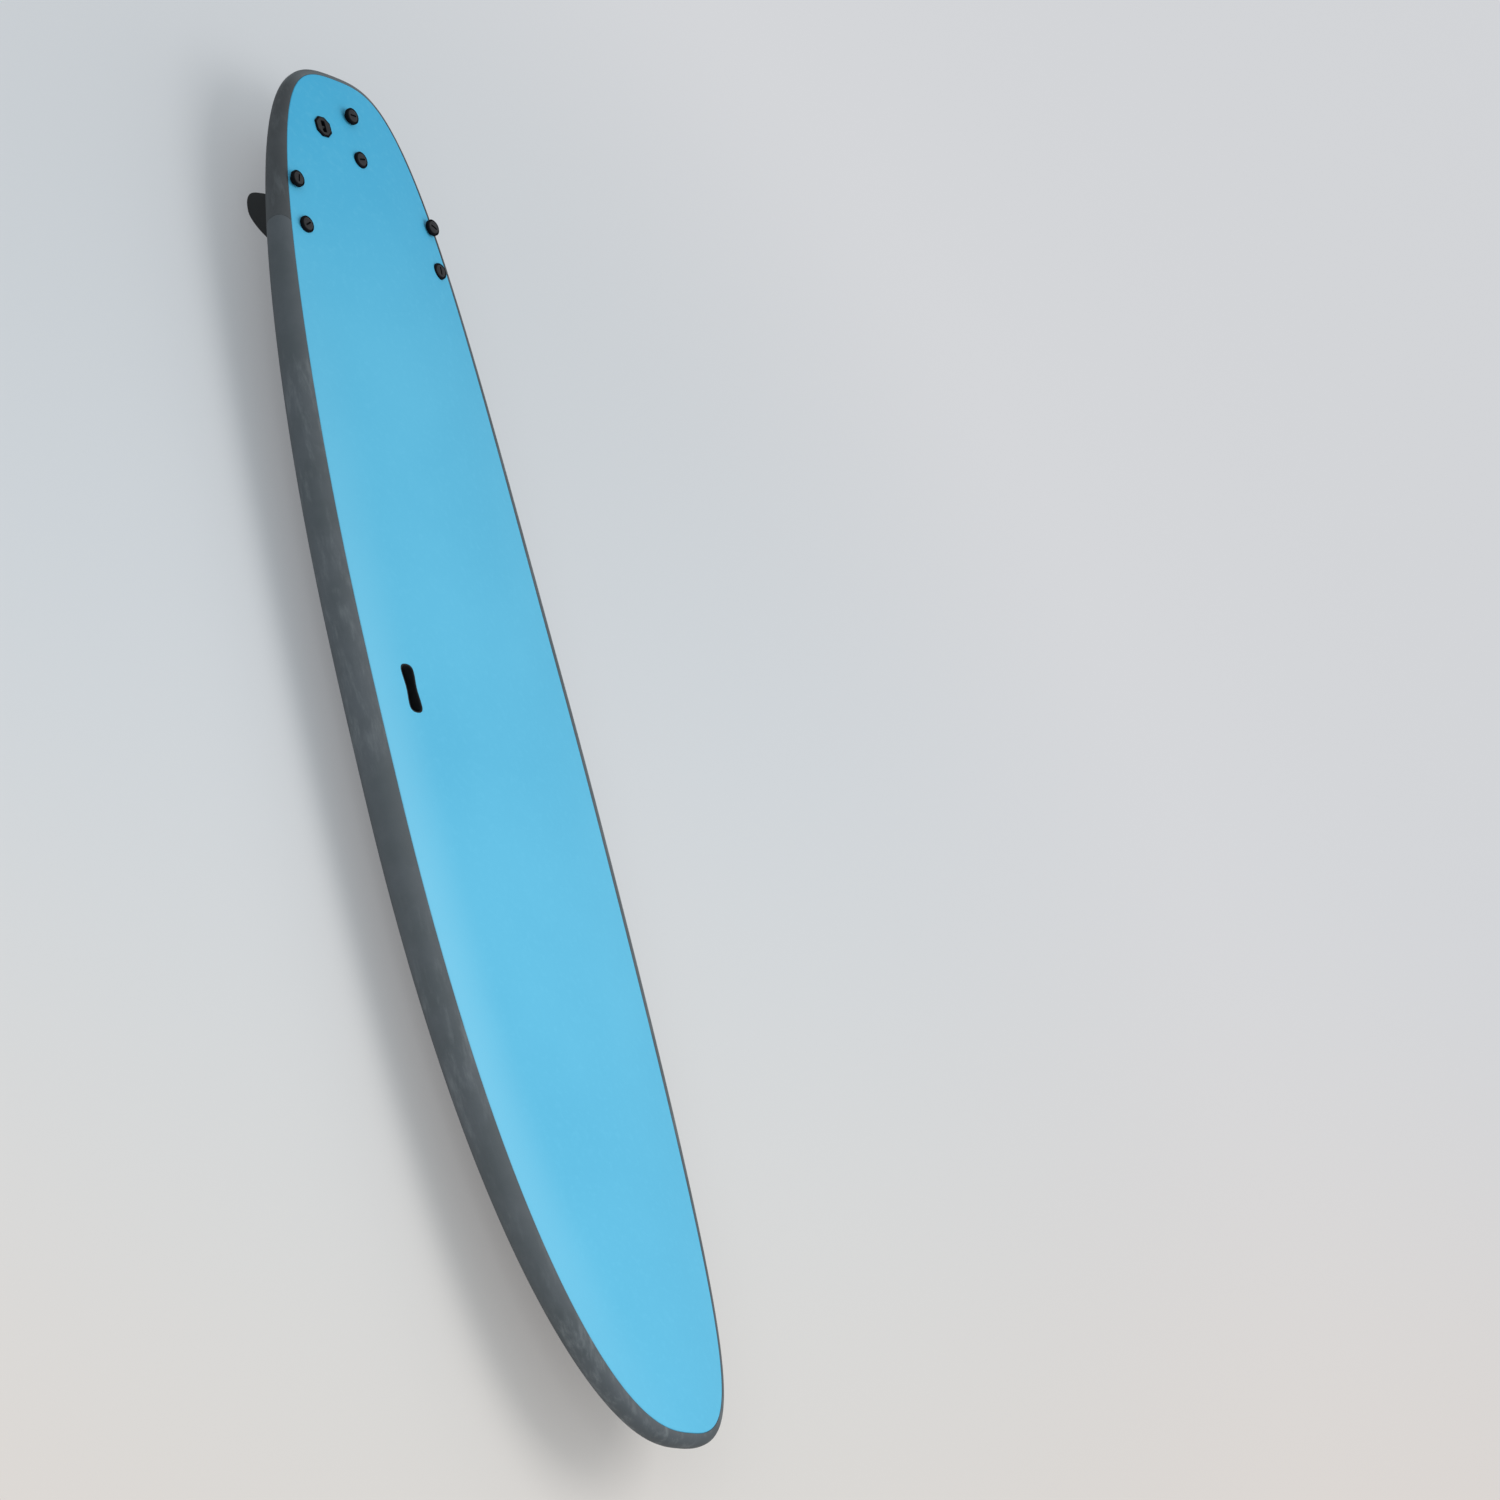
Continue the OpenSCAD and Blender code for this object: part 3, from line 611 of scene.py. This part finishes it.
def rail_finish(name, low, high, scuff):
    """Charcoal rail foam between two tones, with pale scuffs along it, more of them round the nose, and
    a painted sheen round the tail end.
    """
    finish, place = start_finish(name, {"Specular IOR Level": 0.3})
    cloud = mottle(place, 0.09, 4, 0.6)
    rub = mottle(stretched(place, (1.3, 0.3, 1.3)), 0.02, 5, 0.65)
    patch = mottle(place, 0.2, 2)
    lengthwise = measured(place, 1)
    nose_rub = between(lengthwise, 0.8, 1.16)
    # Pale band round the tail end of the rail: a painted sheen.
    tail_sheen = (1 - between(lengthwise, -1.2, -1.16)) * 0.45
    fleck = cells(place, 0.0016, "SMOOTH_F1")
    tone = blended(between(cloud, 0.3, 0.7), paint(*low), paint(*high))
    patches = between(patch + nose_rub * 0.12, 0.42, 0.62)
    scuffs_and_sheen = between(rub, 0.46, 0.76) * patches * (scuff + nose_rub * 0.22)
    lay_on(finish, {
        "Base Color": blended(scuffs_and_sheen + tail_sheen, tone, paint(128, 132, 134)),
        "Roughness": 0.6 + cloud * 0.14,
        "Normal": raised(1 - fleck, 0.00018, 0.5),
    })
    return finish


band = piece(
    "rail_foam_band",
    rail_shape(tail_wrap, 4 - tail_wrap, band_steps),
    rail_finish("rail_band_foam", (81, 86, 89), (90, 94, 98), 0.45), "board",
)
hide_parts("rail_band")
tail_band = piece(
    "rail_foam_tail",
    rail_shape(-tail_wrap, tail_wrap, tail_steps),
    rail_finish("rail_tail_foam", (70, 72, 74), (78, 80, 82), 0.25), "board",
)
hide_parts("rail_tail")


# Finger grip: a deep cup of black moulded nylon for the carrying hand, glued in by its flange.
# The flange is trapped under the deck foam, so that only a thin rim and the dark well are seen.
flange_gap = 0.0008
flange_top = -deck_foam - flange_gap
flange_width, flange_height = 0.008, 0.002


def moulded_finish(name, low, high, gloss=0.2, texture=0.0009):
    """Moulded nylon between two tones, with the fine spark-etched grain of the mould."""
    finish, place = start_finish(name, {"Specular IOR Level": gloss})
    etch = mottle(place, texture, 4, 0.6)
    cloud = mottle(place, 0.011, 4, 0.6)
    lay_on(finish, {
        "Base Color": blended(between(cloud, 0.35, 0.75), paint(*low), paint(*high)),
        "Roughness": 0.5 + cloud * 0.2,
        "Normal": raised(etch, 0.00012, 0.5),
    })
    return finish


grip_black = moulded_finish("grip_nylon", (24, 25, 27), (31, 32, 34))
grip_rings = (
    (-0.006, -grip_depth), (-0.003, -grip_depth + 0.0004), (-0.001, -grip_depth + 0.0016),
    (-0.0002, -grip_depth + 0.0035), (0, -grip_depth + 0.006), (0, -0.0022), (0.0001, -0.0012),
    (0.0004, -0.0005), (0.0009, -0.0001), (0.0013, 0), (0.0019, 0), (0.0023, -0.0002),
    (grip_wall, -0.0006), (grip_wall, flange_top), (grip_wall + flange_width, flange_top),
    (grip_wall + flange_width, flange_top - flange_height), (grip_wall, flange_top - flange_height),
    (grip_wall, -grip_depth + 0.002), (grip_wall - 0.0008, -grip_depth - 0.0008),
    (grip_wall - 0.003, -grip_depth - grip_wall),
)
grip = piece(
    "finger_grip",
    skinned([grip_ring(grow, z) for grow, z in grip_rings], grip_frame),
    grip_black, "board",
)
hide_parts("handle_cup")


# Leash plug: a moulded cup with an eight-sided flange, pressed into the deck beside the centre fin.
# Its face is etched grey, its border is near black, its well is painted near black as painted shade, and
# a pin across the well takes a cord.
flange_half_w, flange_half_l, flange_t = 0.017, 0.0195, 0.003
well_half_w, well_half_l, well_floor = 0.0045, 0.0115, 0.003
pin_radius, pin_depth, pin_hold, pin_back = 0.0025, 0.0055, 0.0035, 0.0015
plug_steps = 96


def plug_ring(half_w, half_l, corner, height, cut):
    """Ring with straight sides and its corners cut off, or rounded where cut is False."""
    ring = []
    for k in range(plug_steps):
        a = 2 * math.pi * (k + 0.5) / plug_steps
        c, s = math.cos(a), math.sin(a)
        if cut:
            cut_off = (half_w + half_l - corner) / (abs(c) + abs(s))
            r = min(half_w / abs(c), half_l / abs(s), cut_off)
            ring.append((r * c, r * s, height))
        else:
            r = min(half_w / abs(c), half_l / abs(s))
            x, y = r * c, r * s
            out_x, out_y = abs(x) - half_w + corner, abs(y) - half_l + corner
            if out_x > 0 and out_y > 0:
                far = math.hypot(out_x, out_y)
                x -= math.copysign(out_x * (1 - corner / far), x) if far > corner else 0
                y -= math.copysign(out_y * (1 - corner / far), y) if far > corner else 0
            ring.append((x, y, height))
    return ring


def round_ring(radius, height):
    return [
        (radius * math.cos(a), radius * math.sin(a), height)
        for a in (2 * math.pi * (k + 0.5) / plug_steps for k in range(plug_steps))
    ]


corner_cut = flange_half_w * (1 - math.tan(math.pi / 8))
plug_black = moulded_finish("plug_nylon", (42, 42, 43), (51, 50, 50))
plug_dark_border_and_well = moulded_finish("plug_dark_border_and_well_finish", (13, 15, 18), (18, 20, 23), 0.03)
plug_border = 0.0026
well_bottom = well_floor - plug_depth
well_corner, well_lip = 0.002, 0.001
cup_foot = 0.001
face_margin = 0.0001
well_profile = (
    (-0.0015, 0.001, well_bottom), (0, well_corner, well_bottom + 0.0015),
    (0, well_corner, flange_t - 0.0008), (0.0003, well_corner, flange_t - 0.0002),
    (0.0009, well_corner, flange_t),
)
flange_profile = (
    (plug_border, flange_t), (0.0016, flange_t), (0.0008, flange_t - 0.0002),
    (0.0002, flange_t - 0.0008), (0, flange_t - 0.0016), (0, glue),
)
cup_profile = (
    (plug_radius, glue), (plug_radius, cup_foot - plug_depth), (plug_radius - cup_foot, -plug_depth),
)
plug_rings = []
for grow, corner, z in well_profile:
    plug_rings.append(plug_ring(well_half_w + grow, well_half_l + grow, corner, z, False))
for inset, z in flange_profile:
    plug_rings.append(plug_ring(flange_half_w - inset, flange_half_l - inset, corner_cut, z, True))
for radius, z in cup_profile:
    plug_rings.append(round_ring(radius, z))


def dark_border_and_shaded_well(spot):
    """True on the flange's border and inside the well."""
    x, y = abs(spot.x), abs(spot.y)
    shares = (
        x / (flange_half_w - plug_border), y / (flange_half_l - plug_border),
        (x + y) / (flange_half_w + flange_half_l - corner_cut - 2 * plug_border),
    )
    within = x < well_half_w + face_margin and y < well_half_l + face_margin
    return (within and spot.z < flange_t - well_lip) or (spot.z > 0 and max(shares) > 1)


plug = piece(
    "leash_plug_cup", skinned(plug_rings, plug_frame), plug_black, "board", crease=40,
)
plug.data.materials.append(plug_dark_border_and_well)
# The border and well faces take the near-black finish; in the well it is painted shade.
for face in plug.data.polygons:
    face.material_index = 1 if dark_border_and_shaded_well(plug_frame.inverted() @ face.center) else 0
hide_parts("leash_plug")
pin_half = well_half_w + pin_hold
pin_edge, pin_sides = 0.0004, 32
pin_spot = Matrix.Translation((0, -pin_back, flange_t - pin_depth))
across_plug = plug_frame @ pin_spot @ Matrix.Rotation(math.pi / 2, 4, "Y")
pin_profile = (
    (pin_radius - pin_edge, -pin_half), (pin_radius, -pin_half + pin_edge),
    (pin_radius, pin_half - pin_edge), (pin_radius - pin_edge, pin_half),
)
pin = piece(
    "leash_plug_pin", turned(pin_profile, across_plug, pin_sides), plug_black, "board",
)
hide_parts("leash_bar")


# Fins: three black moulded plastic blades, each on a base plate with two threaded posts.
# The posts go up through the board, and the base plate lies against the slick bottom.
fin_depth = {"left": 0.050, "centre": 0.112, "right": 0.050}
fin_chord = 0.100
fin_rear, lead_sweep, lead_round = -0.37, 0.59, 0.315
trail_sweep, trail_round, trail_turn = 0.28, 0.345, 6
fin_root, fin_tip = 0.008, 0.0036
fin_fillet, fillet_flare = 0.0028, 0.45
tip_start, tip_run, tip_blunt, tip_end = 0.965, 0.0345, 0.02, 0.999
edge_share, belly_power, edge_rise = 0.14, 0.8, 4
fin_slices, foil_sides = 60, 64
base_width, base_height, base_lip = 0.017, 0.003, 0.002
fin_cant = math.radians(5)
post_radius, post_height, thread_depth = 0.0075, 0.038, 0.028
post_bore, post_mouth, post_edge, post_sides = 0.0051, 0.0055, 0.0008, 40
play = 0.0003


def lead_edge(s):
    return fin_chord * (1 + fin_rear - lead_sweep * s - lead_round * (1 - math.sqrt(1 - s ** 2)))


def trail_edge(s):
    return fin_chord * (fin_rear - trail_sweep * s + trail_round * (1 - math.sqrt(1 - s ** trail_turn)))


def foil_ring(depth, s, flare):
    """Slice of the blade at a share of its depth: thickest ahead of the middle, thin at both edges."""
    rear, front = trail_edge(s) - flare, lead_edge(s) + flare
    tip_round = math.sqrt(max(1 - (max(s - tip_start, 0) / tip_run) ** 2, tip_blunt))
    half = (fin_root + (fin_tip - fin_root) * s) / 2 * tip_round
    ring = []
    for k in range(foil_sides):
        a = 2 * math.pi * k / foil_sides
        swell = abs(math.sin(a))
        edge = min(swell * edge_rise, 1)
        full = half * (edge_share * edge + (1 - edge_share) * swell ** belly_power) + flare * edge
        y = rear + (front - rear) * (1 - math.cos(a)) / 2
        ring.append((math.copysign(full, math.sin(a)), y, -depth * s))
    return ring


def stadium(half_l, half_w, height, steps=24):
    """Ring with straight sides and round ends."""
    ring = []
    for turn in (1, -1):
        for k in range(steps + 1):
            a = math.pi * k / steps
            y = half_l - half_w + half_w * math.sin(a)
            ring.append((turn * half_w * math.cos(a), turn * y, height))
    return ring


fin_black, place = start_finish("fin_plastic", {"Specular IOR Level": 0.3})
cloud = mottle(place, 0.03, 4, 0.6)
hair = mottle(stretched(place, (1, 0.08, 1)), 0.0009, 4, 0.7)
marked = between(hair, 0.64, 0.8)
shell_black = blended(between(cloud, 0.3, 0.7), paint(17, 19, 20), paint(23, 25, 26))
lay_on(fin_black, {
    "Base Color": blended(marked * 0.3, shell_black, paint(78, 82, 83)),
    "Roughness": 0.36 + cloud * 0.12 + marked * 0.12,
    "Normal": raised(hair, 0.00008, 0.3),
})
for side in sides:
    here = fin_frame(side)
    shape = bmesh.new()
    half_l = fin_chord * (1 + fin_rear) + base_lip
    half_w = base_width / 2
    plate = [
        stadium(half_l, half_w, -play), stadium(half_l, half_w, 0.001 - base_height - play),
        stadium(half_l - 0.0003, half_w - 0.0003, 0.0004 - base_height - play),
        stadium(half_l - 0.001, half_w - 0.001, -base_height - play),
    ]
    skinned(plate, here, shape)
    depth = fin_depth[side]
    root = -play - base_height / 2
    cant = Matrix.Rotation(-sides[side] * fin_cant, 4, "Y")
    slices = []
    for k in range(fin_slices + 1):
        s = math.sin(math.pi / 2 * k / fin_slices) * tip_end
        clear = max(depth * s - base_height / 2, 0)
        flare = fillet_flare * fin_fillet * max(1 - clear / fin_fillet, 0) ** 2
        slices.append(foil_ring(depth, s, flare))
    skinned(slices, here @ Matrix.Translation((0, 0, root)) @ cant, shape)
    for end in places:
        post = here @ Matrix.Translation((0, places[end] * screw_spacing / 2, 0))
        profile = (
            (post_radius, root), (post_radius, post_height - post_edge),
            (post_radius - post_edge, post_height), (post_mouth, post_height),
            (post_bore, post_height - 0.0006), (post_bore, post_height - thread_depth),
        )
        turned(profile, post, post_sides, shape)
    fin = piece(f"fin_{side}_moulded", shape, fin_black, "board", crease=38)
    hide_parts(f"fin_{side}")


# Cup washers: six black moulded rings let a little into the deck foam, one under each screw head.
# Each spreads the screw's pull over the soft foam.
# The rear ones stand on a collar, where the board is thin.
washer_black = moulded_finish("washer_nylon", (13, 15, 18), (18, 20, 23), 0.03)
washer_bore, bore_mouth = 0.0053, 0.0056
washer_profile = (
    (0.01435, 0), (0.01475, 0.0004), (0.01475, 0.0042), (0.0146, 0.0048), (0.0142, 0.0052),
    (0.0137, 0.0054), (0.0124, 0.0054), (0.01185, 0.0051), (0.0116, 0.0046), (0.01155, 0.004),
    (0.01155, 0.0023), (0.01125, 0.002), (bore_mouth, 0.002), (washer_bore, 0.0017),
)
round_steps = 96
for side in sides:
    for end in places:
        here = washer_frame(side, end)
        lift, foot = washer_lift[end], washer_foot[end]
        profile = [(washer_bore, 0.0003), (bore_mouth, 0)]
        if lift:
            profile += [(foot - 0.0004, 0), (foot, 0.0004), (foot, lift - 0.0008)]
            profile += [(foot + 0.0003, lift - 0.0002), (foot + 0.0009, lift)]
        profile += [(r, z + lift) for r, z in washer_profile]
        ring = turned(profile, here, round_steps, closed=True)
        washer = piece(
            f"washer_{side}_{end}_cup", ring, washer_black, f"washer_{side}_{end}",
        )
        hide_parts(f"fin_washer_{side}_{end}")


# Fin screws: six moulded nylon screws with a broad flat head and a slot for a coin.
# The shank carries a coarse rounded thread that draws the fin's post up from below.
head_radius, head_height = 0.01125, 0.004
slot_width, slot_length, slot_depth = 0.0032, 0.015, 0.002
slot_steps, slot_cut = 12, 0.01
edge_round, edge_fall, foot_edge = 0.0009, 0.0003, 0.0003
shank_radius, thread_root, pitch = 0.005, 0.0043, 0.003
neck, taper_run, tip_share = 0.009, 0.002, 0.72
thread_sides, thread_row = 40, 0.0005
cup_floor, head_gap, head_hold, tip_room = 0.002, 0.0001, 0.001, 0.004
under_head = cup_floor + head_gap
slot_turns = {
    ("left", "rear"): -19, ("left", "front"): 96, ("centre", "rear"): 0,
    ("centre", "front"): 12, ("right", "rear"): 74, ("right", "front"): 30,
}
screw_grey = moulded_finish("screw_nylon", (42, 42, 44), (51, 50, 51))


def threaded(frame_here, tip):
    """Shank from its tip up to the head, with a right-hand thread below a plain neck."""
    rows = math.ceil((under_head - tip) / thread_row)
    rings = []
    for row in range(rows + 1):
        z = tip + (under_head + head_hold - tip) * row / rows
        taper = min((z - tip) / taper_run, 1)
        plain = min(max((z - under_head + neck) / taper_run, 0), 1)
        ring = []
        for k in range(thread_sides):
            turn = (z / pitch - k / thread_sides) % 1
            crest = 0.5 + 0.5 * math.cos(2 * math.pi * turn)
            crest = crest + (1 - crest) * plain
            r = thread_root + (shank_radius - thread_root) * crest
            r *= tip_share + (1 - tip_share) * taper
            a = 2 * math.pi * k / thread_sides
            ring.append((r * math.cos(a), r * math.sin(a), z))
        rings.append(ring)
    return skinned(rings, frame_here)


for side in sides:
    for end in places:
        here = washer_frame(side, end) @ Matrix.Translation((0, 0, washer_lift[end]))
        top = under_head + head_height
        head = (
            (head_radius - foot_edge, under_head), (head_radius, under_head + foot_edge),
            (head_radius, top - edge_round), (head_radius - edge_fall, top - edge_fall),
            (head_radius - edge_round, top),
        )
        shape = turned(head, here, round_steps)
        slot_lean = Matrix.Rotation(math.radians(slot_turns[side, end]), 4, "Z")
        slot_frame = here @ Matrix.Translation((0, 0, top - slot_depth)) @ slot_lean
        slot_half = slot_width / 2
        end_run = slot_length / 2 - slot_half
        slot_rings = []
        for z in (0, slot_cut):
            ring = []
            for turn in (1, -1):
                for k in range(slot_steps + 1):
                    a = -math.pi / 2 + math.pi * k / slot_steps
                    x = end_run + slot_half * math.cos(a)
                    ring.append((turn * x, turn * slot_half * math.sin(a), z))
            slot_rings.append(ring)
        screw = piece(
            f"screw_{side}_{end}_head", shape, screw_grey, f"screw_{side}_{end}",
            skinned(slot_rings, slot_frame),
        )
        # The slot's sides and floor take the near-black washer finish: painted shade in the slot.
        screw.data.materials.append(washer_black)
        for face in screw.data.polygons:
            spot = slot_frame.inverted() @ face.center
            x, y = abs(spot.x), abs(spot.y)
            within = x < slot_length / 2 + face_margin and y < slot_half + face_margin
            in_slot = within and -face_margin < spot.z < slot_depth - face_margin
            face.material_index = 1 if in_slot else 0
        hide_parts(f"fin_screw_{side}_{end}")
        to_seat = deck_reach(side, end) - washer_seat + washer_lift[end]
        tip = post_height - thread_depth + tip_room - to_seat
        piece(
            f"screw_{side}_{end}_shank", threaded(here, tip), screw_grey,
            f"screw_{side}_{end}", crease=60,
        )


# Studio: the board lies deck up on its fins on a wide, pale, seamless floor.
# A broad soft lamp hangs over the nose half, a weaker one stands by each rail, and the room fills in.
floor_half, floor_squares, floor_gap = 30, 8, 0.0005
fin_foot = min(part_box(f"fin_{side}")[0].z for side in sides)
floor_shape = bmesh.new()
bmesh.ops.create_grid(floor_shape, x_segments=floor_squares, y_segments=floor_squares, size=floor_half)
bmesh.ops.translate(floor_shape, vec=(0, 0, fin_foot - floor_gap), verts=floor_shape.verts)
floor = new_object("studio_floor", floor_shape)
paper, place = start_finish("studio_paper", {"Roughness": 0.9, "Specular IOR Level": 0.1})
lengthwise = measured(place, 1)
warmth = between(lengthwise, -0.4, 2.2) * (1 - between(lengthwise, 2.2, 6))
pale = blended(warmth, paint(216, 217, 220), paint(226, 217, 209))
lay_on(paper, {
    "Base Color": pale,
    "Normal": raised(mottle(place, 0.002, 4), 0.0001, 0.2),
})


def looked_at(tree):
    """1 for what the lens or a gloss sees, and 0 for the light that falls on the board."""
    ray = Shade(tree, None).node("ShaderNodeLightPath")
    glossy = Shade(tree, ray.socket.node.outputs["Is Glossy Ray"])
    clear = Shade(tree, ray.socket.node.outputs["Is Transmission Ray"])
    return ray.maths("MAXIMUM", ray.maths("MAXIMUM", ray, glossy), clear)


tree = paper.node_tree
shaded = Shade(tree, tree.nodes["Principled BSDF"].outputs[0])
even = pale.node("ShaderNodeEmission", None, {"Color": pale, "Strength": 1.0})
away = place.node("ShaderNodeVectorMath", {"operation": "LENGTH"}, {0: place}, out=1)
afar = between(away, 0.7, 2.6)
evened = looked_at(tree) * (0.3 + afar * 0.6)
levelled = pale.node("ShaderNodeMixShader", None, {0: evened, 1: shaded, 2: even})
tree.links.new(levelled.socket, tree.nodes["Material Output"].inputs[0])
floor.data.materials.append(paper)

scene = bpy.context.scene
scene.view_settings.view_transform = "Standard"
world = bpy.data.worlds.new("studio_room")
scene.world = world
world.use_nodes = True
tree = world.node_tree
tree.nodes.clear()
seen = looked_at(tree)
room_tint, room_light = (0.78, 0.93, 1.0, 1), 0.52
fill = seen.node("ShaderNodeBackground", None, {"Color": room_tint, "Strength": room_light})
backdrop = seen.node("ShaderNodeBackground", None, {"Color": paint(213, 214, 217), "Strength": 1.0})
lit = seen.node("ShaderNodeMixShader", None, {0: seen, 1: fill, 2: backdrop})
tree.links.new(lit.socket, tree.nodes.new("ShaderNodeOutputWorld").inputs[0])


def soft_lamp(name, spot, aim, size, power, tint):
    lamp = bpy.data.lights.new(name, "AREA")
    lamp.color = tint
    lamp.shape = "RECTANGLE"
    lamp.size, lamp.size_y = size
    lamp.energy = power
    hung = bpy.data.objects.new(name, lamp)
    hung.location = spot
    hung.rotation_euler = (Vector(aim) - Vector(spot)).to_track_quat("-Z", "Y").to_euler()
    hung.visible_camera = False
    scene.collection.objects.link(hung)


soft_lamp("softbox_over_nose", (-0.7, 0.9, 3.4), (0, 0.4, 0), (2.6, 2.6), 58, (1, 0.97, 0.94))
soft_lamp("softbox_by_right_rail", (3.2, 1.4, 2.3), (0, 0.3, 0), (2.0, 1.6), 34, (0.95, 0.98, 1))
soft_lamp("softbox_by_left_rail", (-2.6, -0.2, 1.8), (0, 0.5, 0), (1.6, 1.4), 6, (1, 0.94, 0.88))

eye = Vector((6.442205, 3.116201, 4.53939))
right = Vector((-0.5873683, 0.2430363, 0.7719663))
up = Vector((0.1539002, -0.9028997, 0.4013562))
back = Vector((0.7945522, 0.3545497, 0.4929313))
camera = bpy.data.objects.new("studio_camera", bpy.data.cameras.new("studio_camera"))
camera.data.sensor_width = 36
camera.data.lens = 126.009
camera.data.clip_end = 200
camera.matrix_world = Matrix.Translation(eye) @ Matrix((right, up, back)).transposed().to_4x4()
scene.collection.objects.link(camera)
scene.camera = camera
